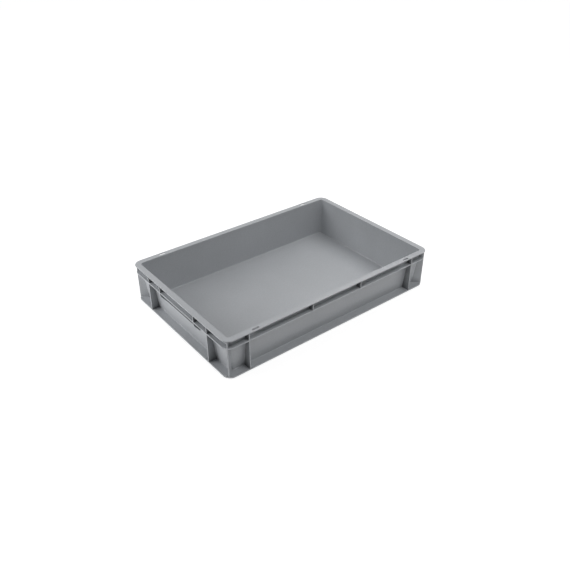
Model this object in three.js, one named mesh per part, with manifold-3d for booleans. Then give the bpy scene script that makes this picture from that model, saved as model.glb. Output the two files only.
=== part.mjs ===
import * as THREE from 'three';
import { mergeVertices } from 'three/addons/utils/BufferGeometryUtils.js';
import Module from 'manifold-3d';

// Stacking tray on the 600 x 400 module: a drafted, ribbed shell of grey polypropylene.
// Millimetres, +Z up. The origin is on the resting face, in the middle of the tray.
// +X runs along the long sides, and -Y is the front.
// It is moulded in one piece. Each functional member of the shell is a solid of its own,
// and neighbours meet face to face.

const wasm = await Module();
wasm.setup();

// Envelope
const OUTER_LENGTH = 600;
const OUTER_WIDTH = 400;
const OVERALL_HEIGHT = 100;

// Skin of the shell
const WALL_THICKNESS = 3;
const FLOOR_THICKNESS = 3;
const WALL_LEAN = 10; // how far a wall leans inwards between the rim and its foot

// Rim
const RIM_WIDTH = 14.6;
const RIM_THICKNESS = 2;
const RIM_CORNER_RADIUS = 21.5;

// Lid slots through the rim of the long sides
const SLOT_LENGTH = 18;
const SLOT_WIDTH = 3.6;
const SLOT_INSET = 5.2; // rim's outer edge to the slot's centre line
const SLOT_FROM_END = 77.8; // end of the tray to the slot's middle

// Collar, the thin horizontal rib under the rim, and the vertical ribs
const COLLAR_DROP = 19; // rim's top face to the collar's top face
const COLLAR_THICKNESS = 2.5;
const RIB_THICKNESS = 2.5;
const RIB_SETBACK = 1.5; // rim's outer edge to the edges of ribs, collar and ledge
const LONG_SIDE_FULL_RIB_FROM_END = 58.5;
const LONG_SIDE_SHORT_RIB_FROM_MIDDLE = 71.5;
const SHORT_SIDE_FULL_RIB_FROM_END = 75.7;

// Grip of the short sides: a finger recess between two gusseted ribs
const GRIP_RIB_FROM_MIDDLE = 72;
const GRIP_DROP = 49; // rim's top face to the recess's lower edge
const GRIP_RECESS = 1.5;
const GRIP_BLEND = 3; // slope around the raised panel that the recess leaves inside

// Base
const LEDGE_THICKNESS = 3;
const FOOT_INSET = 16; // rim's outer edge to the foot, which drops into a rim below

// Corners
const CORNER_MARGIN = 2.5; // straight wall that a corner still carries
const CORNER_STEPS = 12;

const CUT_OVERRUN = 1;
const PLASTIC = { color: 0x8f9397, roughness: 0.62, metalness: 0 };

// Heights
const rimUnderside = OVERALL_HEIGHT - RIM_THICKNESS;
const collarTop = OVERALL_HEIGHT - COLLAR_DROP;
const collarUnderside = collarTop - COLLAR_THICKNESS;
const ledgeUnderside = FLOOR_THICKNESS;
const ledgeTop = ledgeUnderside + LEDGE_THICKNESS;
const gripFoot = OVERALL_HEIGHT - GRIP_DROP;

// Insets from the rim's outer edge. Both faces of a wall lean alike, so it keeps its
// thickness, and the last stretch above the floor is upright.
function innerFace(height) {
  const climb = Math.max(height, ledgeTop) - ledgeTop;
  return RIM_WIDTH + WALL_LEAN * (1 - climb / (rimUnderside - ledgeTop));
}

function outerFace(height) {
  return innerFace(height) - WALL_THICKNESS;
}

const wallInnerRadius = RIM_CORNER_RADIUS - RIM_WIDTH;
const wallOuterRadius = wallInnerRadius + WALL_THICKNESS;
const cornerSpan = innerFace(ledgeTop) + wallInnerRadius + CORNER_MARGIN;

// A side's frame: along the side from its middle, inset from its outer edge, and up. Its
// straight members reach as far as the corners.
const east = new THREE.Vector3(1, 0, 0);
const north = new THREE.Vector3(0, 1, 0);
const west = new THREE.Vector3(-1, 0, 0);
const south = new THREE.Vector3(0, -1, 0);
const up = new THREE.Vector3(0, 0, 1);
const halfLength = OUTER_LENGTH / 2;
const halfWidth = OUTER_WIDTH / 2;

function sideFrame(along, inwards, halfRun, distance) {
  const matrix = new THREE.Matrix4()
    .makeBasis(along, inwards, up)
    .setPosition(inwards.clone().multiplyScalar(-distance));
  return { matrix, halfRun, reach: halfRun - cornerSpan };
}

const SIDES = {
  front: sideFrame(east, north, halfLength, halfWidth),
  right: sideFrame(north, west, halfWidth, halfLength),
  back: sideFrame(west, south, halfLength, halfWidth),
  left: sideFrame(south, east, halfWidth, halfLength),
};
const LONG_SIDES = ['front', 'back'];
const SHORT_SIDES = ['left', 'right'];

const tray = new THREE.Group();

function addPiece(name, geometry) {
  const mesh = new THREE.Mesh(geometry, new THREE.MeshStandardMaterial(PLASTIC));
  mesh.name = name;
  tray.add(mesh);
}

// Solids

function unitPrism(points, holes = []) {
  const shape = new THREE.Shape(points.map(([x, y]) => new THREE.Vector2(x, y)));
  shape.holes.push(...holes);
  return new THREE.ExtrudeGeometry(shape, { depth: 1, bevelEnabled: false, curveSegments: CORNER_STEPS });
}

// A profile of (inset, up) points, run along a side between two places.
function alongSide(side, profile, from, to) {
  const run = new THREE.Matrix4()
    .makeBasis(north, up, east.clone().multiplyScalar(to - from))
    .setPosition(from, 0, 0);
  return unitPrism(profile).applyMatrix4(side.matrix.clone().multiply(run));
}

// An outline of (x, y) points, raised between two heights.
function upright(matrix, outline, bottom, top, holes = []) {
  const rise = new THREE.Matrix4().makeScale(1, 1, top - bottom).setPosition(0, 0, bottom);
  return unitPrism(outline, holes).applyMatrix4(matrix.clone().multiply(rise));
}

// Rings of equally many points, skinned one after another and capped at both ends. Seen
// from the last ring's side, each ring runs counter-clockwise and is convex.
function loft(rings) {
  const count = rings[0].length;
  const index = [];
  for (let ring = 0; ring < rings.length - 1; ring += 1) {
    for (let i = 0; i < count; i += 1) {
      const next = (i + 1) % count;
      const low = ring * count;
      const high = low + count;
      index.push(low + i, low + next, high + next, low + i, high + next, high + i);
    }
  }
  const last = (rings.length - 1) * count;
  for (let i = 1; i < count - 1; i += 1) {
    index.push(0, i + 1, i, last, last + i, last + i + 1);
  }
  const geometry = new THREE.BufferGeometry();
  geometry.setAttribute('position', new THREE.Float32BufferAttribute(rings.flat().flat(), 3));
  geometry.setIndex(index);
  return geometry;
}

function toSolid(geometry) {
  const bare = geometry.clone();
  bare.deleteAttribute('normal');
  bare.deleteAttribute('uv');
  const merged = mergeVertices(bare);
  const mesh = new wasm.Mesh({
    numProp: 3,
    vertProperties: new Float32Array(merged.attributes.position.array),
    triVerts: new Uint32Array(merged.index.array),
  });
  return new wasm.Manifold(mesh);
}

function toGeometry(solid) {
  const mesh = solid.getMesh();
  const geometry = new THREE.BufferGeometry();
  geometry.setAttribute('position', new THREE.Float32BufferAttribute(mesh.vertProperties, mesh.numProp));
  geometry.setIndex(new THREE.Uint32BufferAttribute(mesh.triVerts, 1));
  return geometry;
}

// Floor

function roundedRectangle(inset) {
  const radius = RIM_CORNER_RADIUS - inset;
  const corners = [
    [halfLength, -halfWidth, -1, 1, -Math.PI / 2],
    [halfLength, halfWidth, -1, -1, 0],
    [-halfLength, halfWidth, 1, -1, Math.PI / 2],
    [-halfLength, -halfWidth, 1, 1, Math.PI],
  ];
  const points = [];
  for (const [x, y, inX, inY, start] of corners) {
    for (let step = 0; step <= CORNER_STEPS; step += 1) {
      const angle = start + (step / CORNER_STEPS) * (Math.PI / 2);
      points.push([
        x + inX * RIM_CORNER_RADIUS + radius * Math.cos(angle),
        y + inY * RIM_CORNER_RADIUS + radius * Math.sin(angle),
      ]);
    }
  }
  return points;
}

addPiece('floor_panel', upright(new THREE.Matrix4(), roundedRectangle(FOOT_INSET), 0, FLOOR_THICKNESS));

// Straight members of each side

function rectangle(insetFrom, insetTo, from, to) {
  return [[from, insetFrom], [to, insetFrom], [to, insetTo], [from, insetTo]];
}

function addLedge(name, side) {
  const outline = rectangle(RIB_SETBACK, FOOT_INSET, -side.reach, side.reach);
  addPiece(`base_ledge_${name}`, upright(side.matrix, outline, ledgeUnderside, ledgeTop));
}

// The wall stands on a thicker heel that ends over the foot's edge and carries the ledge.
const wallProfile = [
  [FOOT_INSET, ledgeUnderside],
  [innerFace(ledgeTop), ledgeUnderside],
  [innerFace(ledgeTop), ledgeTop],
  [innerFace(rimUnderside), rimUnderside],
  [outerFace(rimUnderside), rimUnderside],
  [outerFace(ledgeTop), ledgeTop],
  [FOOT_INSET, ledgeTop],
];

function plainWall(side) {
  return alongSide(side, wallProfile, -side.reach, side.reach);
}

// The recess is pushed into the wall from outside, and shows inside as a low raised panel.
function gripWall(side) {
  const clear = GRIP_RIB_FROM_MIDDLE - RIB_THICKNESS / 2;
  const recessProfile = [
    [outerFace(collarUnderside) - CUT_OVERRUN, collarUnderside],
    [outerFace(gripFoot) - CUT_OVERRUN, gripFoot],
    [outerFace(gripFoot) + GRIP_RECESS, gripFoot],
    [outerFace(collarUnderside) + GRIP_RECESS, collarUnderside],
  ];
  const recess = toSolid(alongSide(side, recessProfile, -clear, clear));
  const panel = toSolid(raisedPanel(side, clear));
  return toGeometry(toSolid(plainWall(side)).add(panel).subtract(recess));
}

// It grows from inside the wall, keeps its slope within the blend, and follows the lean.
function raisedPanel(side, clear) {
  const frame = (halfRun, margin, proud) => {
    const low = gripFoot - margin;
    const high = collarUnderside + margin;
    return [
      [-halfRun, innerFace(low) + proud, low],
      [-halfRun, innerFace(high) + proud, high],
      [halfRun, innerFace(high) + proud, high],
      [halfRun, innerFace(low) + proud, low],
    ];
  };
  const buried = frame(clear + GRIP_BLEND, GRIP_BLEND, -WALL_THICKNESS / 2);
  const root = frame(clear + GRIP_BLEND, GRIP_BLEND, 0);
  const face = frame(clear, 0, GRIP_RECESS);
  return loft([buried, root, face]).applyMatrix4(side.matrix);
}

function slotHole(middle) {
  const radius = SLOT_WIDTH / 2;
  const straight = SLOT_LENGTH / 2 - radius;
  const hole = new THREE.Path();
  hole.absarc(middle + straight, SLOT_INSET, radius, -Math.PI / 2, Math.PI / 2, false);
  hole.absarc(middle - straight, SLOT_INSET, radius, Math.PI / 2, -Math.PI / 2, false);
  hole.closePath();
  return hole;
}

function addRim(name, side, slotPlaces) {
  const outline = rectangle(0, RIM_WIDTH, -side.reach, side.reach);
  const holes = slotPlaces.map(slotHole);
  addPiece(`rim_${name}`, upright(side.matrix, outline, rimUnderside, OVERALL_HEIGHT, holes));
}

// Ribs

const fullRibProfile = [
  [RIB_SETBACK, ledgeTop],
  [outerFace(ledgeTop), ledgeTop],
  [outerFace(rimUnderside), rimUnderside],
  [RIB_SETBACK, rimUnderside],
];
const shortRibProfile = [
  [RIB_SETBACK, collarTop],
  [outerFace(collarTop), collarTop],
  [outerFace(rimUnderside), rimUnderside],
  [RIB_SETBACK, rimUnderside],
];
// Below the collar a grip rib runs back to the wall as a gusset.
const gripRibProfile = [
  [RIB_SETBACK, collarUnderside],
  [outerFace(gripFoot), gripFoot],
  [outerFace(rimUnderside), rimUnderside],
  [RIB_SETBACK, rimUnderside],
];

function addRib(name, side, profile, middle) {
  addPiece(name, alongSide(side, profile, middle - RIB_THICKNESS / 2, middle + RIB_THICKNESS / 2));
}

// Collar: one strip in each bay between the ribs that run through it.

const collarProfile = [
  [RIB_SETBACK, collarUnderside],
  [outerFace(collarUnderside), collarUnderside],
  [outerFace(collarTop), collarTop],
  [RIB_SETBACK, collarTop],
];

function addCollar(name, side, ribPlaces, bayNames) {
  const starts = [-side.reach, ...ribPlaces.map((place) => place + RIB_THICKNESS / 2)];
  const ends = [...ribPlaces.map((place) => place - RIB_THICKNESS / 2), side.reach];
  bayNames.forEach((bay, i) => {
    addPiece(`collar_${name}_${bay}`, alongSide(side, collarProfile, starts[i], ends[i]));
  });
}

for (const name of LONG_SIDES) {
  const side = SIDES[name];
  const full = side.halfRun - LONG_SIDE_FULL_RIB_FROM_END;
  const short = LONG_SIDE_SHORT_RIB_FROM_MIDDLE;
  const slot = side.halfRun - SLOT_FROM_END;
  addLedge(name, side);
  addPiece(`wall_${name}`, plainWall(side));
  addRim(name, side, [-slot, slot]);
  addCollar(name, side, [-full, full], ['first_bay', 'middle_bay', 'last_bay']);
  addRib(`rib_${name}_first`, side, fullRibProfile, -full);
  addRib(`rib_${name}_last`, side, fullRibProfile, full);
  addRib(`short_rib_${name}_first`, side, shortRibProfile, -short);
  addRib(`short_rib_${name}_last`, side, shortRibProfile, short);
}

for (const name of SHORT_SIDES) {
  const side = SIDES[name];
  const full = side.halfRun - SHORT_SIDE_FULL_RIB_FROM_END;
  const grip = GRIP_RIB_FROM_MIDDLE;
  const bayNames = ['first_bay', 'second_bay', 'grip_bay', 'fourth_bay', 'last_bay'];
  addLedge(name, side);
  addPiece(`wall_${name}`, gripWall(side));
  addRim(name, side, []);
  addCollar(name, side, [-full, -grip, grip, full], bayNames);
  addRib(`rib_${name}_first`, side, fullRibProfile, -full);
  addRib(`rib_${name}_last`, side, fullRibProfile, full);
  addRib(`grip_rib_${name}_first`, side, gripRibProfile, -grip);
  addRib(`grip_rib_${name}_last`, side, gripRibProfile, grip);
}

// Corners: the leaning wall turns the corner with its share of rim, collar and ledge, and
// one rib stands on the diagonal.

// The corner's own square at one height, with its outer corner rounded.
function cornerRing(inset, radius, reach, height) {
  const centre = inset + radius;
  const ring = [[reach, reach, height], [inset, reach, height]];
  for (let step = 0; step <= CORNER_STEPS; step += 1) {
    const angle = Math.PI + (step / CORNER_STEPS) * (Math.PI / 2);
    ring.push([centre + radius * Math.cos(angle), centre + radius * Math.sin(angle), height]);
  }
  ring.push([reach, inset, height]);
  return ring;
}

function cornerSlab(inset, bottom, top) {
  const radius = RIM_CORNER_RADIUS - inset;
  return toSolid(loft([
    cornerRing(inset, radius, cornerSpan, bottom),
    cornerRing(inset, radius, cornerSpan, top),
  ]));
}

// The wall's outer body, and the hollow inside it that runs out past both ends.
function cornerWall() {
  return toSolid(loft([
    cornerRing(outerFace(ledgeTop), wallOuterRadius, cornerSpan, ledgeUnderside),
    cornerRing(outerFace(ledgeTop), wallOuterRadius, cornerSpan, ledgeTop),
    cornerRing(outerFace(rimUnderside), wallOuterRadius, cornerSpan, rimUnderside),
  ]));
}

function cornerHollow() {
  const reach = cornerSpan + CUT_OVERRUN;
  return toSolid(loft([
    cornerRing(innerFace(ledgeTop), wallInnerRadius, reach, ledgeUnderside - CUT_OVERRUN),
    cornerRing(innerFace(ledgeTop), wallInnerRadius, reach, ledgeTop),
    cornerRing(innerFace(rimUnderside), wallInnerRadius, reach, rimUnderside),
    cornerRing(innerFace(rimUnderside), wallInnerRadius, reach, OVERALL_HEIGHT + CUT_OVERRUN),
  ]));
}

function diagonalRib() {
  const blade = new THREE.BoxGeometry(cornerSpan * Math.SQRT2, RIB_THICKNESS, rimUnderside - ledgeTop)
    .rotateZ(Math.PI / 4)
    .translate(cornerSpan / 2, cornerSpan / 2, (ledgeTop + rimUnderside) / 2);
  return toSolid(blade).intersect(cornerSlab(RIB_SETBACK, ledgeTop, rimUnderside));
}

function cornerSolid() {
  return cornerSlab(0, rimUnderside, OVERALL_HEIGHT)
    .add(cornerSlab(RIB_SETBACK, collarUnderside, collarTop))
    .add(cornerSlab(RIB_SETBACK, ledgeUnderside, ledgeTop))
    .add(cornerWall())
    .add(diagonalRib())
    .subtract(cornerHollow());
}

const CORNERS = {
  front_left: [east, north, -halfLength, -halfWidth],
  front_right: [north, west, halfLength, -halfWidth],
  back_right: [west, south, halfLength, halfWidth],
  back_left: [south, east, -halfLength, halfWidth],
};
const corner = cornerSolid();
for (const [name, [first, second, x, y]] of Object.entries(CORNERS)) {
  const matrix = new THREE.Matrix4().makeBasis(first, second, up).setPosition(x, y, 0);
  addPiece(`corner_${name}`, toGeometry(corner).applyMatrix4(matrix));
}

export default tray;
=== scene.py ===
import math

import bmesh
import bpy
from mathutils import Matrix, Quaternion, Vector


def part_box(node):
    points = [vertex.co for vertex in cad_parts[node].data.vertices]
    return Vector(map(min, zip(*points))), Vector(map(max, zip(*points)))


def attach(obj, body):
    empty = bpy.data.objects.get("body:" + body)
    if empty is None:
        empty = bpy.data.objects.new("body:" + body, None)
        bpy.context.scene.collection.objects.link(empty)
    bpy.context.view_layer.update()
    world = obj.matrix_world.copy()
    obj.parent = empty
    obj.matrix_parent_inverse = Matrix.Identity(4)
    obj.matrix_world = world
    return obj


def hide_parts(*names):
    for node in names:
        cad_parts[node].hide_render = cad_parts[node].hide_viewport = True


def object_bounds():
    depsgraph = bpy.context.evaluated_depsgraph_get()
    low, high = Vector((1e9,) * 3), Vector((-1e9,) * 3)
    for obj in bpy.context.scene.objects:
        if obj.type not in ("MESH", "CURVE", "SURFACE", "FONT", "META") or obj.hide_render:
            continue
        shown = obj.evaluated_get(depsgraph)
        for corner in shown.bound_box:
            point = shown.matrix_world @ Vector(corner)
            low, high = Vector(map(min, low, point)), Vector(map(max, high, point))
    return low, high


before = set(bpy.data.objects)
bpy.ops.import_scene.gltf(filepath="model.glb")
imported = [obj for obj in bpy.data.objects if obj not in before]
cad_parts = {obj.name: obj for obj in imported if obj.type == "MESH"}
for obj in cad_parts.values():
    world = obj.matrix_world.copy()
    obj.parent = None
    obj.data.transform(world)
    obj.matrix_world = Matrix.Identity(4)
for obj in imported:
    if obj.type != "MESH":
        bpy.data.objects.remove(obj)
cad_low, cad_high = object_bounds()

# A grey stacking tray on a white studio floor, seen from above its near left corner.
# Metres, +Z up, -Y the front long side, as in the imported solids.

MM = 0.001

# Sizes read from the solids. An inset is measured inwards from the rim's outer edge.

half_length = cad_high.x
half_width = cad_high.y


def front_insets(node):
    """How far in from the outer edge a piece of the front side begins and ends."""
    low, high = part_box(node)
    return low.y + half_width, high.y + half_width


def heights(node):
    """The heights at which a piece begins and ends."""
    low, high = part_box(node)
    return low.z, high.z


floor_top = heights("floor_panel")[1]
rim_underside, rim_top = heights("rim_front")
collar_underside, collar_top = heights("collar_front_middle_bay")
ledge_underside, ledge_top = heights("base_ledge_front")
grip_foot = heights("grip_rib_left_first")[0]
rim_width = front_insets("rim_front")[1]
rib_setback, foot_inset = front_insets("base_ledge_front")
wall_foot_outer = front_insets("rib_front_first")[1]
wall_foot_inner = front_insets("wall_front")[1]
wall_thickness = wall_foot_inner - wall_foot_outer
wall_lean = wall_foot_inner - rim_width


def inner_face(height):
    """The inset of the leaning wall's inner face. Below the ledge's top it stands upright."""
    climb = max(height, ledge_top) - ledge_top
    return rim_width + wall_lean * (1 - climb / (rim_underside - ledge_top))


def outer_face(height):
    return inner_face(height) - wall_thickness


def rib_place(node, axis):
    """How far a rib's middle stands from the middle of its side, and its thickness."""
    low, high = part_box(node)
    return abs(low[axis] + high[axis]) / 2, high[axis] - low[axis]


long_full_place, rib_thickness = rib_place("rib_front_first", 0)
long_short_place = rib_place("short_rib_front_first", 0)[0]
short_full_place = rib_place("rib_left_first", 1)[0]
grip_rib_place = rib_place("grip_rib_left_first", 1)[0]

# Sizes of the corners, slots and grips. How deep a grip is and how far it swells are guesses.

RIM_CORNER_RADIUS = 21.5 * MM
CORNER_STEPS = 16

SLOT_LENGTH = 18 * MM
SLOT_WIDTH = 5.4 * MM
SLOT_INSET = 6.1 * MM
SLOT_LEAN = 2.2 * MM
SLOT_FROM_END = 77.8 * MM
SLOT_EDGE = 0.25 * MM
SLOT_END_STEPS = 8

GRIP_DEPTH = 2.1 * MM
GRIP_LIP = 1.5 * MM
GRIP_SWELL = 0.5 * MM
GRIP_SWELL_BLEND = 16 * MM
GRIP_SWELL_STEPS = 6
GRIP_SWELL_HEAD_GAP = 2 * MM
GRIP_END_STEPS = 5
# The hollow's lower lip: how far below it a point lies, and its share of the hollow's depth
GRIP_LIP_DROPS = ((0, 1), (0.1 * MM, 0.85), (0.35 * MM, 0.15), (0.9 * MM, 0))

# Fillets and rounded edges of the shell

FLOOR_MARGIN = 2 * MM
HEEL_HEIGHT = 3 * MM
FLOOR_FILLET = 2.2 * MM
WALL_FILLET = 0.8 * MM
LEDGE_FILLET = 1.2 * MM
RIM_INNER_EDGE = 0.9 * MM
RIM_OUTER_EDGE = 1.0 * MM
RIM_LOWER_EDGE = 0.8 * MM
COLLAR_UPPER_EDGE = 0.9 * MM
COLLAR_LOWER_EDGE = 0.4 * MM
LEDGE_UPPER_EDGE = 0.6 * MM
LEDGE_LOWER_EDGE = 0.5 * MM
FOOT_EDGE = 0.8 * MM
LARGE_FILLET = 1.5 * MM
LARGE_FILLET_STEPS = 4
SMALL_FILLET_STEPS = 3
LARGEST_TRIM = 0.45
WELD = 0.002 * MM

# Ribs. Their feet and heads reach a little way into what they join.

GUSSET_SHOULDER = 7.5 * MM
ROOT_FLARE = 0.7 * MM
FLARE_MARKS = (0.1 * MM, 0.3 * MM)
BLADE_EDGE = 0.5 * MM
EDGE_MIDDLE = 0.29
EDGE_CLEAR = 1.1
BLADE_STEPS = 8
BURIED = 0.6 * MM
PROUD = 0.05 * MM


# Node trees

def add_node(tree, kind, inputs=None, **settings):
    """A node with its inputs linked, or set where the value given is a plain one."""
    made = tree.nodes.new(kind)
    for name, value in settings.items():
        setattr(made, name, value)
    for socket, value in (inputs or {}).items():
        if isinstance(value, bpy.types.NodeSocket):
            tree.links.new(value, made.inputs[socket])
        else:
            made.inputs[socket].default_value = value
    return made


def maths(tree, operation, *values):
    made = add_node(tree, "ShaderNodeMath", dict(enumerate(values)), operation=operation)
    return made.outputs[0]


def vector_maths(tree, operation, *values):
    made = add_node(tree, "ShaderNodeVectorMath", dict(enumerate(values)), operation=operation)
    return made.outputs[0]


def scaled(tree, vector, amount):
    made = add_node(
        tree, "ShaderNodeVectorMath", {0: vector, "Scale": amount}, operation="SCALE"
    )
    return made.outputs[0]


def combined(tree, **parts):
    return add_node(tree, "ShaderNodeCombineXYZ", parts).outputs[0]


def new_shape_tree(name, inputs):
    tree = bpy.data.node_groups.new(name, "GeometryNodeTree")
    tree.interface.new_socket("Geometry", in_out="INPUT", socket_type="NodeSocketGeometry")
    for label, kind in inputs:
        tree.interface.new_socket(label, in_out="INPUT", socket_type=kind)
    tree.interface.new_socket("Geometry", in_out="OUTPUT", socket_type="NodeSocketGeometry")
    return tree, add_node(tree, "NodeGroupInput").outputs, add_node(tree, "NodeGroupOutput")


def finish_shape_tree(tree, output, geometry, material):
    real = add_node(tree, "GeometryNodeRealizeInstances", {"Geometry": geometry})
    painted = add_node(
        tree, "GeometryNodeSetMaterial", {"Geometry": real.outputs[0], "Material": material}
    )
    tree.links.new(painted.outputs[0], output.inputs[0])


def moulded_round_tree():
    """A profile carried round a rounded rectangle. Each profile point has an inset, a height and
    the inset of its corner's centre, so a leaning wall keeps one corner radius."""
    tree, given, output = new_shape_tree("moulded_round", [
        ("Path", "NodeSocketObject"),
        ("Half Length", "NodeSocketFloat"),
        ("Half Width", "NodeSocketFloat"),
        ("Grip Depth", "NodeSocketFloat"),
        ("Grip Swell", "NodeSocketFloat"),
        ("Weld", "NodeSocketFloat"),
        ("Material", "NodeSocketMaterial"),
    ])
    profile = given["Geometry"]
    path = add_node(tree, "GeometryNodeObjectInfo", {"Object": given["Path"]}).outputs["Geometry"]
    rows = add_node(tree, "GeometryNodeAttributeDomainSize", {0: profile}).outputs[0]
    columns = add_node(tree, "GeometryNodeAttributeDomainSize", {0: path}).outputs[0]
    grid = add_node(tree, "GeometryNodeMeshGrid", {
        "Vertices X": maths(tree, "ADD", columns, 1.0), "Vertices Y": rows,
    })
    index = add_node(tree, "GeometryNodeInputIndex").outputs[0]
    column = maths(tree, "FLOOR", maths(tree, "DIVIDE", maths(tree, "ADD", index, 0.5), rows))
    row = maths(tree, "SUBTRACT", index, maths(tree, "MULTIPLY", column, rows))
    around = maths(tree, "MODULO", column, columns)

    def sample(geometry, name, kind, place):
        named = add_node(tree, "GeometryNodeInputNamedAttribute", {"Name": name}, data_type=kind)
        found = add_node(tree, "GeometryNodeSampleIndex", {
            "Geometry": geometry, "Value": named.outputs[0], "Index": place,
        }, data_type=kind)
        return found.outputs[0]

    inset = sample(profile, "inset", "FLOAT", row)
    height = sample(profile, "height", "FLOAT", row)
    centre = sample(profile, "centre", "FLOAT", row)
    for name, amount in (("press", "Grip Depth"), ("swell", "Grip Swell")):
        up = sample(profile, name, "FLOAT", row)
        across = sample(path, name, "FLOAT", around)
        moved = maths(tree, "MULTIPLY", maths(tree, "MULTIPLY", up, across), given[amount])
        inset = maths(tree, "ADD", inset, moved)
    sign = sample(path, "sign", "FLOAT_VECTOR", around)
    along = sample(path, "along", "FLOAT_VECTOR", around)
    outward = sample(path, "outward", "FLOAT_VECTOR", around)
    reach = combined(
        tree, X=maths(tree, "SUBTRACT", given["Half Length"], centre),
        Y=maths(tree, "SUBTRACT", given["Half Width"], centre),
    )
    spoke = scaled(tree, outward, maths(tree, "SUBTRACT", centre, inset))
    place = vector_maths(
        tree, "ADD", vector_maths(tree, "MULTIPLY", sign, reach),
        vector_maths(tree, "ADD", along, spoke),
    )
    place = vector_maths(tree, "ADD", place, combined(tree, Z=height))
    shaped = add_node(tree, "GeometryNodeSetPosition", {
        "Geometry": grid.outputs["Mesh"], "Position": place,
    })
    welded = add_node(tree, "GeometryNodeMergeByDistance", {
        "Geometry": shaped.outputs[0], "Distance": given["Weld"],
    })
    finish_shape_tree(tree, output, welded.outputs[0], given["Material"])
    return tree


def place_four(tree, given, output, place, turn):
    """The end of a tree that puts four copies of what it is given each at its place and turn."""
    points = add_node(tree, "GeometryNodePoints", {"Count": 4})
    placed = add_node(tree, "GeometryNodeSetPosition", {
        "Geometry": points.outputs[0], "Position": place,
    })
    copies = add_node(tree, "GeometryNodeInstanceOnPoints", {
        "Points": placed.outputs[0],
        "Instance": given["Geometry"],
        "Rotation": combined(tree, Z=turn),
    })
    finish_shape_tree(tree, output, copies.outputs[0], given["Material"])


def opposite_sides_tree():
    """Four copies: at a place on either side of the middle, on two opposite sides."""
    tree, given, output = new_shape_tree("on_opposite_sides", [
        ("Place", "NodeSocketFloat"),
        ("Distance", "NodeSocketFloat"),
        ("Turn", "NodeSocketFloat"),
        ("Material", "NodeSocketMaterial"),
    ])
    index = add_node(tree, "GeometryNodeInputIndex").outputs[0]
    side = maths(tree, "FLOOR", maths(tree, "DIVIDE", index, 2.0))
    which_end = maths(tree, "MULTIPLY", maths(tree, "MODULO", index, 2.0), 2.0)
    mirrored = maths(tree, "SUBTRACT", which_end, 1.0)
    turn = maths(tree, "ADD", maths(tree, "MULTIPLY", side, math.pi), given["Turn"])
    before = combined(
        tree, X=maths(tree, "MULTIPLY", mirrored, given["Place"]),
        Y=maths(tree, "MULTIPLY", given["Distance"], -1.0),
    )
    turned = add_node(
        tree, "ShaderNodeVectorRotate", {"Vector": before, "Angle": turn}, rotation_type="Z_AXIS"
    )
    place_four(tree, given, output, turned.outputs[0], turn)
    return tree


def corners_tree():
    """Four copies, one in each corner, turned to its diagonal."""
    tree, given, output = new_shape_tree("in_four_corners", [
        ("Centre X", "NodeSocketFloat"),
        ("Centre Y", "NodeSocketFloat"),
        ("Material", "NodeSocketMaterial"),
    ])
    index = add_node(tree, "GeometryNodeInputIndex").outputs[0]
    heading = maths(tree, "MULTIPLY", maths(tree, "ADD", index, 0.5), math.pi / 2)
    across = maths(tree, "SIGN", maths(tree, "COSINE", heading))
    along = maths(tree, "SIGN", maths(tree, "SINE", heading))
    place = combined(
        tree, X=maths(tree, "MULTIPLY", across, given["Centre X"]),
        Y=maths(tree, "MULTIPLY", along, given["Centre Y"]),
    )
    place_four(tree, given, output, place, maths(tree, "ADD", heading, math.pi / 2))
    return tree


# Meshes

def link_object(name, data):
    made = bpy.data.objects.new(name, data)
    bpy.context.scene.collection.objects.link(made)
    return made


def mesh_object(name, points, edges=(), faces=()):
    mesh = bpy.data.meshes.new(name)
    mesh.from_pydata(points, edges, faces)
    return link_object(name, mesh)


def plain_copy(source, name):
    """The source with its modifiers applied, as a mesh of its own."""
    bpy.context.view_layer.update()
    graph = bpy.context.evaluated_depsgraph_get()
    mesh = bpy.data.meshes.new_from_object(source.evaluated_get(graph), depsgraph=graph)
    mesh.name = name
    return link_object(name, mesh)


def run_tree(source, tree, values, name):
    """The plain mesh that a tree makes of the source object, which then goes."""
    modifier = source.modifiers.new("shape", "NODES")
    modifier.node_group = tree
    for item in tree.interface.items_tree:
        if item.in_out == "INPUT" and item.name in values:
            modifier[item.identifier] = values[item.name]
    made = plain_copy(source, name)
    source.modifiers.remove(modifier)
    bpy.data.objects.remove(source)
    return made


def tidy_mesh(made, smooth_angle=math.radians(40)):
    """Open ends closed, faces outwards, and smooth but for its real edges."""
    shape = bmesh.new()
    shape.from_mesh(made.data)
    bmesh.ops.remove_doubles(shape, verts=shape.verts, dist=WELD)
    bmesh.ops.dissolve_degenerate(shape, edges=shape.edges, dist=WELD)
    bmesh.ops.holes_fill(shape, edges=[edge for edge in shape.edges if edge.is_boundary])
    bmesh.ops.recalc_face_normals(shape, faces=shape.faces)
    shape.to_mesh(made.data)
    shape.free()
    made.data.shade_smooth()
    made.data.set_sharp_from_angle(angle=smooth_angle)


def store(mesh, name, kind, values):
    """A named value for each point, which the shell's tree reads."""
    attribute = mesh.attributes.new(name, kind, "POINT")
    for item, value in zip(attribute.data, values):
        if kind == "FLOAT":
            item.value = value
        else:
            item.vector = value


# The shell's profile, from the floor up the inside, over the rim and down the outside to
# the foot. A corner point is (inset, height, centre of its corner's radius, fillet, press,
# swell): the last two say how far the grip's hollow outside and its swelling inside reach.

head_centre = RIM_CORNER_RADIUS
foot_centre = RIM_CORNER_RADIUS + wall_lean
floor_edge = foot_centre + FLOOR_MARGIN


def wall_centre(height):
    return inner_face(height) + RIM_CORNER_RADIUS - rim_width


def smooth_share(share):
    return share * share * (3 - 2 * share)


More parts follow.
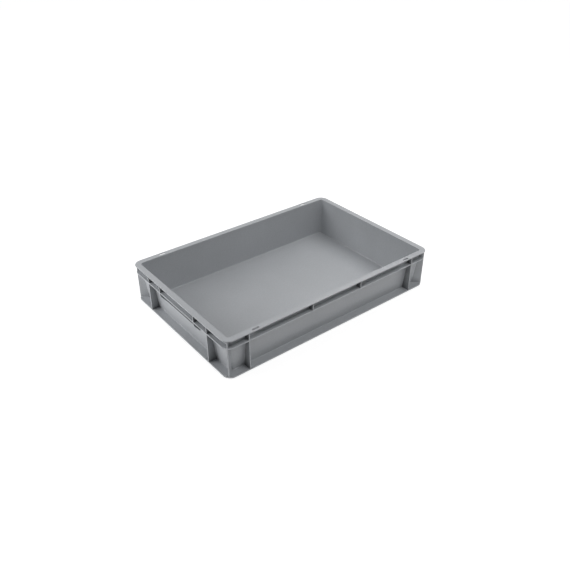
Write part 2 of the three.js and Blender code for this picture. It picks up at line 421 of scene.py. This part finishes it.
def round_off(corners):
    """The corner points with their fillets, as rows of (inset, height, centre, press, swell)."""
    corners = [corner + (0,) * (6 - len(corner)) for corner in corners]
    rows = [corners[0][:3] + corners[0][4:]]
    for before, corner, after in zip(corners, corners[1:], corners[2:]):
        centre, radius, press, swell = corner[2:]
        if not radius:
            rows.append(corner[:3] + corner[4:])
            continue
        place = Vector(corner[:2])
        back = Vector(before[:2]) - place
        on = Vector(after[:2]) - place
        half_angle = back.angle(on) / 2
        trim = radius / math.tan(half_angle)
        trim = min(trim, LARGEST_TRIM * back.length, LARGEST_TRIM * on.length)
        start = place + back.normalized() * trim
        end = place + on.normalized() * trim
        halfway = (back.normalized() + on.normalized()).normalized()
        middle = place + halfway * trim / math.cos(half_angle)
        steps = LARGE_FILLET_STEPS if radius > LARGE_FILLET else SMALL_FILLET_STEPS
        turn = (start - middle).angle_signed(end - middle)
        for step in range(steps + 1):
            spoke = start - middle
            spoke.rotate(Matrix.Rotation(-turn * step / steps, 2))
            point = middle + spoke
            rows.append((point.x, point.y, centre, press, swell))
    rows.append(corners[-1][:3] + corners[-1][4:])
    return rows


def shell_profile():
    heel = ledge_top + HEEL_HEIGHT
    corners = [
        (floor_edge, floor_top, floor_edge, 0),
        (foot_centre, floor_top, foot_centre, 0),
        (wall_foot_inner, floor_top, foot_centre, FLOOR_FILLET),
        (inner_face(heel), heel, wall_centre(heel), 0),
    ]
    for low, high, rising in (
        (grip_foot - GRIP_SWELL_BLEND, grip_foot, True),
        (collar_underside, rim_underside - GRIP_SWELL_HEAD_GAP, False),
    ):
        for step in range(GRIP_SWELL_STEPS + 1):
            share = step / GRIP_SWELL_STEPS
            height = low + (high - low) * share
            swell = smooth_share(share if rising else 1 - share)
            corners.append((inner_face(height), height, wall_centre(height), 0, 0, swell))
    corners += [
        (rim_width, rim_underside, head_centre, 0),
        (rim_width, rim_top, head_centre, RIM_INNER_EDGE),
        (0, rim_top, head_centre, RIM_OUTER_EDGE),
        (0, rim_underside, head_centre, RIM_LOWER_EDGE),
        (outer_face(rim_underside), rim_underside, head_centre, WALL_FILLET),
        (outer_face(collar_top), collar_top, wall_centre(collar_top), WALL_FILLET),
        (rib_setback, collar_top, head_centre, COLLAR_UPPER_EDGE),
        (rib_setback, collar_underside, head_centre, COLLAR_LOWER_EDGE),
        (outer_face(collar_underside), collar_underside, wall_centre(collar_underside),
         WALL_FILLET, 1),
    ]
    lip = grip_foot + GRIP_LIP
    for drop, press in GRIP_LIP_DROPS:
        corners.append((outer_face(lip), lip - drop, wall_centre(lip), 0, press))
    corners += [
        (outer_face(ledge_top), ledge_top, wall_centre(ledge_top), LEDGE_FILLET),
        (rib_setback, ledge_top, head_centre, LEDGE_UPPER_EDGE),
        (rib_setback, ledge_underside, head_centre, LEDGE_LOWER_EDGE),
        (foot_inset, ledge_underside, head_centre, LEDGE_LOWER_EDGE),
        (foot_inset, 0, head_centre, FOOT_EDGE),
        (floor_edge, 0, floor_edge, 0),
    ]
    rows = round_off(corners)
    made = mesh_object("profile", [(row[0], 0, row[1]) for row in rows])
    for column, label in enumerate(("inset", "height", "centre", "press", "swell")):
        values = [row[column] for row in rows]
        if label == "centre":
            values = [max(centre, row[0]) for centre, row in zip(values, rows)]
        store(made.data, label, "FLOAT", values)
    return made


def shell_path():
    """The way round: arcs at the corners, and on the short sides the edges of the grip."""
    grip_edge = grip_rib_place - rib_thickness / 2
    blend = GRIP_SWELL_BLEND
    steps = GRIP_END_STEPS
    quarter = math.pi / 2
    columns = []
    for side in range(4):
        turn = Matrix.Rotation(quarter * side, 3, "Z")
        outward = turn @ Vector((0, -1, 0))
        along = turn @ Vector((1, 0, 0))
        if side % 2:
            stations = [grip_edge + rib_thickness * step / steps for step in range(steps + 1)]
            stations += [grip_edge - blend * (1 - step / steps) for step in range(steps)]
            stations += [
                grip_edge + rib_thickness + blend * step / steps for step in range(1, steps)
            ]
            stations.sort()
            for place in [-place for place in reversed(stations)] + stations:
                past_edge = abs(place) - grip_edge
                press = 1 - smooth_share(min(max(past_edge / rib_thickness, 0), 1))
                swell = 1 - smooth_share(min(max((past_edge + blend) / (2 * blend), 0), 1))
                columns.append((outward.copy(), along * place, outward.copy(), press, swell))
        corner_sign = Vector((round((outward + along).x), round((outward + along).y), 0))
        for step in range(CORNER_STEPS + 1):
            spoke = outward.copy()
            spoke.rotate(Matrix.Rotation(quarter * step / CORNER_STEPS, 3, "Z"))
            columns.append((corner_sign, Vector(), spoke, 0.0, 0.0))
    made = mesh_object("path", [(index, 0, 0) for index in range(len(columns))])
    for column, (label, kind) in enumerate((
        ("sign", "FLOAT_VECTOR"), ("along", "FLOAT_VECTOR"), ("outward", "FLOAT_VECTOR"),
        ("press", "FLOAT"), ("swell", "FLOAT"),
    )):
        store(made.data, label, kind, [row[column] for row in columns])
    return made


# Ribs and slots, each made once in its own frame: across, in from the outer edge, up

def skin(name, rings):
    """A closed mesh over rings of equally many points, with a cap on either end."""
    count = len(rings[0])
    points = [point for ring in rings for point in ring]
    faces = []
    for level in range(len(rings) - 1):
        low = level * count
        high = low + count
        for i in range(count):
            following = (i + 1) % count
            faces.append((low + i, low + following, high + following, high + i))
    faces.append(tuple(reversed(range(count))))
    last = (len(rings) - 1) * count
    faces.append(tuple(range(last, last + count)))
    return mesh_object(name, points, faces=faces)


def flare(distance):
    """How much wider a rib is at this distance from what it joins."""
    if distance >= ROOT_FLARE:
        return 0
    return ROOT_FLARE * (1 - math.sqrt(1 - (1 - max(distance, 0) / ROOT_FLARE) ** 2))


def rib_blade(edge_at, foot, head, thin_foot=False):
    """A blade from its outer edge back into the wall, filleted where it meets what it joins."""
    half = rib_thickness / 2
    straight = head - foot - 2 * ROOT_FLARE
    levels = [foot - BURIED, foot, *(foot + mark for mark in FLARE_MARKS), foot + ROOT_FLARE]
    levels += [foot + ROOT_FLARE + straight * step / BLADE_STEPS for step in range(1, BLADE_STEPS)]
    levels += [head - ROOT_FLARE, *(head - mark for mark in reversed(FLARE_MARKS))]
    levels += [head, head + BURIED]
    rings = []
    for level in levels:
        swell = flare(head - level) + (0 if thin_foot else flare(level - foot))
        width = half + swell
        edge = edge_at(level) - PROUD
        root = outer_face(min(max(level, foot), head))
        side = [
            (width - BLADE_EDGE, edge),
            (width - EDGE_MIDDLE * BLADE_EDGE, edge + EDGE_MIDDLE * BLADE_EDGE),
            (width, edge + BLADE_EDGE),
        ]
        for back in (ROOT_FLARE, *reversed(FLARE_MARKS), 0):
            side.append((width + flare(back), max(root - back, edge + EDGE_CLEAR * BLADE_EDGE)))
        side.append((width + ROOT_FLARE, root + BURIED))
        ring = side + [(-across, inwards) for across, inwards in reversed(side)]
        rings.append([(across, inwards, level) for across, inwards in ring])
    return skin("blade", rings)


def straight_edge(level):
    return rib_setback


def grip_rib_edge(level):
    """Below a shoulder under the collar the blade runs back to the wall as a gusset."""
    shoulder = collar_underside - GUSSET_SHOULDER
    if level >= shoulder:
        return rib_setback
    share = (shoulder - level) / (shoulder - grip_foot)
    return rib_setback + (outer_face(grip_foot) - rib_setback) * min(share, 1)


def corner_blade():
    """The diagonal rib: its outer edge rides on the rounded corner, its root is in the wall."""
    blade = rib_blade(straight_edge, ledge_top, rim_underside)
    edge_reach = RIM_CORNER_RADIUS - rib_setback
    for vertex in blade.data.vertices:
        height = min(max(vertex.co.z, ledge_top), rim_underside)
        root = outer_face(height)
        root_centre = wall_centre(height) - head_centre
        root_reach = wall_centre(height) - root - root_centre * math.sqrt(2)
        share = (vertex.co.y - rib_setback) / (root - rib_setback)
        vertex.co.y = -(edge_reach + (root_reach - edge_reach) * share)
    return blade


def slot_cutter():
    """The slot's hole, with rounded edges. Its inner face leans back under the rim."""
    radius = SLOT_WIDTH / 2
    straight = SLOT_LENGTH / 2 - radius
    edge_marks = ((-2, 1), (0, 1), (0.3, 0.3), (1, 0))
    levels = [(rim_underside + SLOT_EDGE * into, SLOT_EDGE * wider) for into, wider in edge_marks]
    levels += [
        (rim_top - SLOT_EDGE * into, SLOT_EDGE * wider) for into, wider in reversed(edge_marks)
    ]
    rings = []
    for height, grown in levels:
        ring = []
        fall = (rim_top - SLOT_EDGE - height) / (rim_top - rim_underside - SLOT_EDGE)
        lean = SLOT_LEAN * min(max(fall, 0), 1)
        for centre, start in ((straight, -math.pi / 2), (-straight, math.pi / 2)):
            for step in range(SLOT_END_STEPS + 1):
                angle = start + math.pi * step / SLOT_END_STEPS
                across = centre + (radius + grown) * math.cos(angle)
                inwards = SLOT_INSET + (radius + grown) * math.sin(angle)
                ring.append((across, inwards + lean * max(math.sin(angle), 0), height))
        rings.append(ring)
    return skin("slot_cutter", rings)


# Finish: moulded polypropylene, with painted shade in recesses and a painted highlight on edges

GREY = (0.37, 0.384, 0.402)
ROUGHNESS = 0.37
ROUGHNESS_SPREAD = 0.05
PIGMENT_AMOUNT = 0.07
PIGMENT_SCALE = 7.0
CLOUD_RANGE = (0.3, 0.7)
GRAIN_SIZE = 1400.0
GRAIN_HEIGHT = 0.02 * MM
WEAR_AND_HIGHLIGHT_PALER = 1.7
# How much paler scuffs and edges grow: wear, and at the edges a painted highlight too
SCUFF_PALER = 0.18
SCUFF_ROUGHER = 0.12

# Where the painted shade line on a grip's sill fades in and out: before the hollow's face, before
# the ribs, below the sill and above it

SILL_FACE_FROM, SILL_FACE_TO = 0.4 * MM, 0.1 * MM
SILL_END_FADE = 2 * MM
SILL_FOOT_FROM, SILL_FOOT_TO = 2.0 * MM, 1.2 * MM
SILL_HEAD_FROM, SILL_HEAD_TO = 4.5 * MM, 8 * MM


def effect_group(name, inputs, outputs):
    tree = bpy.data.node_groups.new(name, "ShaderNodeTree")
    for label, kind, value in inputs:
        socket = tree.interface.new_socket(label, in_out="INPUT", socket_type=kind)
        socket.default_value = value
    for label, kind in outputs:
        tree.interface.new_socket(label, in_out="OUTPUT", socket_type=kind)
    return tree, add_node(tree, "NodeGroupInput").outputs, add_node(tree, "NodeGroupOutput")


def object_place(tree):
    return add_node(tree, "ShaderNodeTexCoord").outputs["Object"]


def noise(tree, place, scale, detail, **more):
    made = add_node(
        tree, "ShaderNodeTexNoise", {"Vector": place, "Scale": scale, "Detail": detail, **more}
    )
    return made.outputs[0]


def spread(tree, value, low, high, to_low, to_high):
    made = add_node(tree, "ShaderNodeMapRange", {
        "Value": value, "From Min": low, "From Max": high, "To Min": to_low, "To Max": to_high,
    })
    return made.outputs["Result"]


def grain_group():
    """Fine spark-eroded grain: a height for a bump, finer and coarser together."""
    tree, given, output = effect_group("moulded_grain", [
        ("Size", "NodeSocketFloat", GRAIN_SIZE),
        ("Coarse Share", "NodeSocketFloat", 0.35),
    ], [("Height", "NodeSocketFloat")])
    place = object_place(tree)
    fine = noise(tree, place, given["Size"], 2.0, Roughness=0.6)
    coarse = noise(tree, place, maths(tree, "MULTIPLY", given["Size"], 0.12), 2.0)
    height = add_node(tree, "ShaderNodeMix", {
        "Factor": given["Coarse Share"], "A": fine, "B": coarse,
    })
    tree.links.new(height.outputs[0], output.inputs["Height"])
    return tree


def pigment_group():
    """Slow and fine, faint changes of tone, as pigment and flow leave them in a moulding."""
    tree, given, output = effect_group("pigment_clouds", [
        ("Colour", "NodeSocketColor", (*GREY, 1)),
        ("Amount", "NodeSocketFloat", PIGMENT_AMOUNT),
        ("Scale", "NodeSocketFloat", PIGMENT_SCALE),
    ], [("Colour", "NodeSocketColor"), ("Mask", "NodeSocketFloat")])
    place = object_place(tree)
    clouds = noise(tree, place, given["Scale"], 4.0, Roughness=0.55, Distortion=0.6)
    specks = noise(tree, place, maths(tree, "MULTIPLY", given["Scale"], 40.0), 1.0)
    both = maths(
        tree, "ADD", maths(tree, "MULTIPLY", clouds, 0.5), maths(tree, "MULTIPLY", specks, 0.5)
    )
    change = maths(
        tree, "MULTIPLY", spread(tree, both, *CLOUD_RANGE, -1.0, 1.0), given["Amount"]
    )
    toned = scaled(tree, given["Colour"], maths(tree, "ADD", 1.0, change))
    tree.links.new(toned, output.inputs["Colour"])
    tree.links.new(both, output.inputs["Mask"])
    return tree


def scuff_group():
    """Short fine scratches in two directions, a mask that is mostly zero."""
    tree, given, output = effect_group("handling_scuffs", [
        ("Density", "NodeSocketFloat", 0.5),
    ], [("Mask", "NodeSocketFloat")])
    place = object_place(tree)
    masks = []
    for turn, stretch in ((0.35, (260, 5, 40)), (-0.9, (7, 300, 40))):
        mapped = add_node(tree, "ShaderNodeMapping", {
            "Vector": place, "Rotation": (0, 0, turn), "Scale": stretch,
        })
        lines = noise(tree, mapped.outputs[0], 1.0, 2.0)
        masks.append(spread(tree, lines, 0.66, 0.74, 0.0, 1.0))
    where = spread(tree, noise(tree, place, 14.0, 2.0), 0.45, 0.65, 0.0, 1.0)
    found = maths(tree, "MULTIPLY", maths(tree, "MAXIMUM", *masks), where)
    found = maths(tree, "MULTIPLY", found, given["Density"])
    tree.links.new(found, output.inputs["Mask"])
    return tree


def edge_wear_and_highlight_group():
    """A mask of the places that stand out, such as edges, broken up in patches: paler wear there,
    and a painted highlight where edges catch the light.
    """
    tree, given, output = effect_group("edge_wear_and_highlight", [
        ("Patch Scale", "NodeSocketFloat", 60.0),
    ], [("Mask", "NodeSocketFloat")])
    geometry = add_node(tree, "ShaderNodeNewGeometry")
    pointed = spread(tree, geometry.outputs["Pointiness"], 0.52, 0.6, 0.0, 1.0)
    patches = noise(tree, object_place(tree), given["Patch Scale"], 3.0)
    broken = spread(tree, patches, 0.35, 0.65, 0.25, 1.0)
    tree.links.new(maths(tree, "MULTIPLY", pointed, broken), output.inputs["Mask"])
    return tree


def recess_shade_group():
    """Painted shade: a tone that darkens the colour where the surface lies sheltered, in recesses,
    under the rim and on rib sides.
    """
    tree, given, output = effect_group("painted_recess_shade", [
        ("Reach", "NodeSocketFloat", 25 * MM),
        ("Open From", "NodeSocketFloat", 0.1),
        ("Open To", "NodeSocketFloat", 0.4),
        ("Deepest Tone", "NodeSocketFloat", 0.55),
    ], [("Tone", "NodeSocketFloat")])
    shelter = add_node(
        tree, "ShaderNodeAmbientOcclusion", {"Distance": given["Reach"]}, samples=12
    )
    tone = spread(
        tree, shelter.outputs["AO"], given["Open From"], given["Open To"],
        given["Deepest Tone"], 1.0,
    )
    tree.links.new(tone, output.inputs["Tone"])
    return tree


def sill_painted_shade(tree):
    """A mask of painted shade: the shadow line under the lip of each grip's hollow, darkened into
    the colour.
    """
    place = add_node(tree, "ShaderNodeSeparateXYZ", {0: object_place(tree)}).outputs
    end, along = (maths(tree, "ABSOLUTE", place[axis]) for axis in "XY")
    sill = grip_foot + GRIP_LIP
    hollow = half_length - outer_face(sill) - GRIP_DEPTH
    mask = spread(tree, end, hollow - SILL_FACE_FROM, hollow - SILL_FACE_TO, 0.0, 1.0)
    for share in (
        spread(tree, along, grip_rib_place - SILL_END_FADE, grip_rib_place, 1.0, 0.0),
        spread(tree, place["Z"], sill - SILL_FOOT_FROM, sill - SILL_FOOT_TO, 0.0, 1.0),
        spread(tree, place["Z"], sill + SILL_HEAD_FROM, sill + SILL_HEAD_TO, 1.0, 0.0),
    ):
        mask = maths(tree, "MULTIPLY", mask, share)
    return mask


pigment = pigment_group()
scuffs = scuff_group()
edge_wear_and_highlight = edge_wear_and_highlight_group()
grain = grain_group()
recess_shade = recess_shade_group()


def effect(tree, group, inputs=None):
    """The outputs of an effect's node group in a material's tree."""
    return add_node(tree, "ShaderNodeGroup", inputs, node_tree=group).outputs


def tray_plastic(name, wear_and_highlight, open_from, open_to, deepest_tone, sill_shade_tone=None):
    """Grained grey polypropylene, paler on scuffs and at edges (wear, and at edges a painted
    highlight too), and darkened by painted shade where sheltered.
    """
    material = bpy.data.materials.new(name)
    material.use_nodes = True
    tree = material.node_tree
    shader = tree.nodes["Principled BSDF"]
    mottle = effect(tree, pigment, {"Colour": (*GREY, 1)})
    scuffed = effect(tree, scuffs)["Mask"]
    # Paler colour on scuffs, which is wear, and on edges, which is wear and a painted highlight in
    # one.
    pale_share = maths(
        tree, "ADD", maths(tree, "MULTIPLY", scuffed, SCUFF_PALER),
        maths(tree, "MULTIPLY", effect(tree, edge_wear_and_highlight)["Mask"], wear_and_highlight),
    )
    paler = add_node(tree, "ShaderNodeMix", data_type="RGBA")
    tree.links.new(pale_share, paler.inputs["Factor"])
    tree.links.new(mottle["Colour"], paler.inputs["A"])
    paler.inputs["B"].default_value = (*(min(1, channel * WEAR_AND_HIGHLIGHT_PALER) for channel in GREY), 1)
    # Painted shade: the colour is darkened by how sheltered the surface is, in recesses and on rib
    # sides.
    tone = effect(tree, recess_shade, {
        "Open From": open_from, "Open To": open_to, "Deepest Tone": deepest_tone,
    })["Tone"]
    # Painted shade: a dark line along each grip's sill, where the hollow's lip casts its shadow.
    if sill_shade_tone:
        sill_shade = spread(tree, sill_painted_shade(tree), 0.0, 1.0, 1.0, sill_shade_tone)
        tone = maths(tree, "MULTIPLY", tone, sill_shade)
    tree.links.new(scaled(tree, paler.outputs["Result"], tone), shader.inputs["Base Color"])
    gloss = spread(
        tree, mottle["Mask"], *CLOUD_RANGE,
        ROUGHNESS - ROUGHNESS_SPREAD, ROUGHNESS + ROUGHNESS_SPREAD,
    )
    gloss = maths(tree, "ADD", gloss, maths(tree, "MULTIPLY", scuffed, SCUFF_ROUGHER))
    tree.links.new(gloss, shader.inputs["Roughness"])
    bump = add_node(tree, "ShaderNodeBump", {
        "Strength": 1.0, "Distance": GRAIN_HEIGHT, "Height": effect(tree, grain)["Height"],
    })
    tree.links.new(bump.outputs[0], shader.inputs["Normal"])
    return material


# Four copies of one plastic. They differ only in how strongly painted shade darkens them where
# sheltered, and in how much paler wear and painted highlight their edges get. The corner ribs get
# the most painted highlight, and the grip ribs the deepest painted shade.
shell_plastic = tray_plastic(
    "grey_polypropylene", wear_and_highlight=0.35, open_from=0.1, open_to=0.4, deepest_tone=0.55, sill_shade_tone=0.4
)
rib_plastic = tray_plastic(
    "grey_polypropylene_ribs", wear_and_highlight=0.9, open_from=0.35, open_to=1.0, deepest_tone=0.36
)
grip_rib_plastic = tray_plastic(
    "grey_polypropylene_grip_ribs", wear_and_highlight=0.2, open_from=0.35, open_to=1.0, deepest_tone=0.3
)
corner_rib_plastic = tray_plastic(
    "grey_polypropylene_corner_ribs", wear_and_highlight=1.6, open_from=0.2, open_to=0.7, deepest_tone=0.75
)


# Pieces

sides = opposite_sides_tree()


def on_sides(source, name, place, short_side=False, material=rib_plastic):
    return run_tree(source, sides, {
        "Place": place,
        "Distance": half_length if short_side else half_width,
        "Turn": math.pi / 2 if short_side else 0.0,
        "Material": material,
    }, name)


path = shell_path()
shell = run_tree(shell_profile(), moulded_round_tree(), {
    "Path": path,
    "Half Length": half_length,
    "Half Width": half_width,
    "Grip Depth": GRIP_DEPTH,
    "Grip Swell": GRIP_SWELL,
    "Weld": WELD,
    "Material": shell_plastic,
}, "moulded_shell")
bpy.data.objects.remove(path)
tidy_mesh(shell)

slots = on_sides(slot_cutter(), "slots", half_length - SLOT_FROM_END)
cut = shell.modifiers.new("slots", "BOOLEAN")
cut.operation = "DIFFERENCE"
cut.solver = "EXACT"
cut.object = slots
tray_shell = plain_copy(shell, "tray_shell")
bpy.data.objects.remove(shell)
bpy.data.objects.remove(slots)

long_ribs = on_sides(
    rib_blade(straight_edge, ledge_top, rim_underside), "long_side_ribs", long_full_place
)
short_ribs = on_sides(
    rib_blade(straight_edge, collar_top, rim_underside), "short_ribs", long_short_place
)
end_ribs = on_sides(
    rib_blade(straight_edge, ledge_top, rim_underside), "short_side_ribs", short_full_place, True
)
grip_ribs = on_sides(
    rib_blade(grip_rib_edge, grip_foot, rim_underside, True), "grip_ribs", grip_rib_place, True,
    grip_rib_plastic,
)
corner_ribs = run_tree(corner_blade(), corners_tree(), {
    "Centre X": half_length - head_centre,
    "Centre Y": half_width - head_centre,
    "Material": corner_rib_plastic,
}, "corner_ribs")

all_pieces = [tray_shell, long_ribs, short_ribs, end_ribs, grip_ribs, corner_ribs]
for piece in all_pieces:
    tidy_mesh(piece)
    weighted = piece.modifiers.new("weighted normals", "WEIGHTED_NORMAL")
    weighted.keep_sharp = True
    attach(piece, "root")

node_names = sorted(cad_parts)
rib_nodes = [name for name in node_names if "rib_" in name]
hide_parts(*[name for name in node_names if name not in rib_nodes])
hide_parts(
    *[f"rib_{side}_{end}" for side in ("front", "back") for end in ("first", "last")]
)
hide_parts(*[name for name in rib_nodes if name.startswith("short_rib_")])
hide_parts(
    *[f"rib_{side}_{end}" for side in ("left", "right") for end in ("first", "last")]
)
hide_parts(*[name for name in rib_nodes if name.startswith("grip_rib_")])


# Studio

FLOOR_REACH = 12.0
FLOOR_BOUNCE = 0.8
FLOOR_LIFT = 0.25
FLOOR_SHADE = 0.3
GLOW_NEAR, GLOW_FAR = 0.85, 1.0
GLOW_FROM, GLOW_TO = 0.5, 1.6
WHITE = (1, 1, 1, 1)
LAMP_TARGET = Vector((0, 0, 0.05))


def seen_directly(tree):
    """One for what the camera sees, also in a reflection, and zero for light that bounces."""
    rays = add_node(tree, "ShaderNodeLightPath").outputs
    mirrored = maths(tree, "MAXIMUM", rays["Is Glossy Ray"], rays["Is Transmission Ray"])
    return maths(tree, "MAXIMUM", rays["Is Camera Ray"], mirrored)


def white_floor():
    """A floor that looks white and keeps the tray's shadow."""
    material = bpy.data.materials.new("studio_white")
    material.use_nodes = True
    tree = material.node_tree
    tree.nodes.remove(tree.nodes["Principled BSDF"])

    def grey_and_glow(grey, glow):
        matte = add_node(tree, "ShaderNodeBsdfDiffuse", {"Color": (grey, grey, grey, 1)})
        shine = add_node(tree, "ShaderNodeEmission", {"Color": WHITE, "Strength": glow})
        both = add_node(tree, "ShaderNodeAddShader", {0: matte.outputs[0], 1: shine.outputs[0]})
        return both.outputs[0]

    away = add_node(
        tree, "ShaderNodeVectorMath", {0: object_place(tree)}, operation="LENGTH"
    ).outputs["Value"]
    glow = spread(tree, away, GLOW_FROM, GLOW_TO, GLOW_NEAR, GLOW_FAR)
    mixed = add_node(tree, "ShaderNodeMixShader", {
        0: seen_directly(tree),
        1: grey_and_glow(FLOOR_BOUNCE, FLOOR_LIFT),
        2: grey_and_glow(FLOOR_SHADE, glow),
    })
    tree.links.new(mixed.outputs[0], tree.nodes["Material Output"].inputs["Surface"])
    made = mesh_object("studio_floor", [
        (-FLOOR_REACH, -FLOOR_REACH, 0), (FLOOR_REACH, -FLOOR_REACH, 0),
        (FLOOR_REACH, FLOOR_REACH, 0), (-FLOOR_REACH, FLOOR_REACH, 0),
    ], faces=[(0, 1, 2, 3)])
    made.data.materials.append(material)


def white_world():
    """White where it is seen, and no light of its own."""
    world = bpy.data.worlds.new("studio")
    world.use_nodes = True
    bpy.context.scene.world = world
    background = world.node_tree.nodes["Background"]
    background.inputs["Color"].default_value = WHITE
    world.node_tree.links.new(seen_directly(world.node_tree), background.inputs["Strength"])


def way_out(azimuth, elevation):
    """The way from the tray to a lamp or camera. Azimuth is counter-clockwise from +X."""
    turn, climb = math.radians(azimuth), math.radians(elevation)
    level = math.cos(climb)
    return Vector((level * math.cos(turn), level * math.sin(turn), math.sin(climb)))


def softbox(name, azimuth, elevation, distance, width, height, power):
    """An area lamp that looks at the tray's middle."""
    data = bpy.data.lights.new(name, "AREA")
    data.shape = "RECTANGLE"
    data.size = width
    data.size_y = height
    data.energy = power
    lamp = link_object(name, data)
    away = way_out(azimuth, elevation)
    lamp.location = LAMP_TARGET + away * distance
    lamp.rotation_mode = "QUATERNION"
    lamp.rotation_quaternion = (-away).to_track_quat("-Z", "Y")


white_floor()
white_world()
softbox("left_softbox", 150, 25, 1.2, 0.8, 0.5, 6.6)
softbox("left_fill", 165, 18, 1.8, 1.0, 0.5, 5.0)
softbox("front_softbox", 285, 60, 2.4, 1.4, 1.0, 22.4)
softbox("front_fill", 300, 15, 2.4, 1.2, 0.8, 5.0)
softbox("right_softbox", 18, 51, 1.3, 0.8, 0.6, 6.6)


# Camera, as fitted to the rim's edges in the photo

CAMERA_AZIMUTH = -128.206
CAMERA_ELEVATION = 32.824
CAMERA_ROLL = -0.196
CAMERA_DISTANCE = 1.4307
CAMERA_TARGET = Vector((-0.07481, -0.1037, 0.1))
FOCAL_PIXELS = 635.47
PHOTO_PIXELS = 570
SENSOR = 36

lens = bpy.data.cameras.new("photo_camera")
lens.sensor_width = SENSOR
lens.lens = FOCAL_PIXELS / PHOTO_PIXELS * SENSOR
camera = link_object("photo_camera", lens)
away = way_out(CAMERA_AZIMUTH, CAMERA_ELEVATION)
camera.location = CAMERA_TARGET + away * CAMERA_DISTANCE
camera.rotation_mode = "QUATERNION"
level = (-away).to_track_quat("-Z", "Y")
camera.rotation_quaternion = level @ Quaternion((0, 0, 1), math.radians(CAMERA_ROLL))
bpy.context.scene.camera = camera
bpy.context.scene.view_settings.view_transform = "Standard"
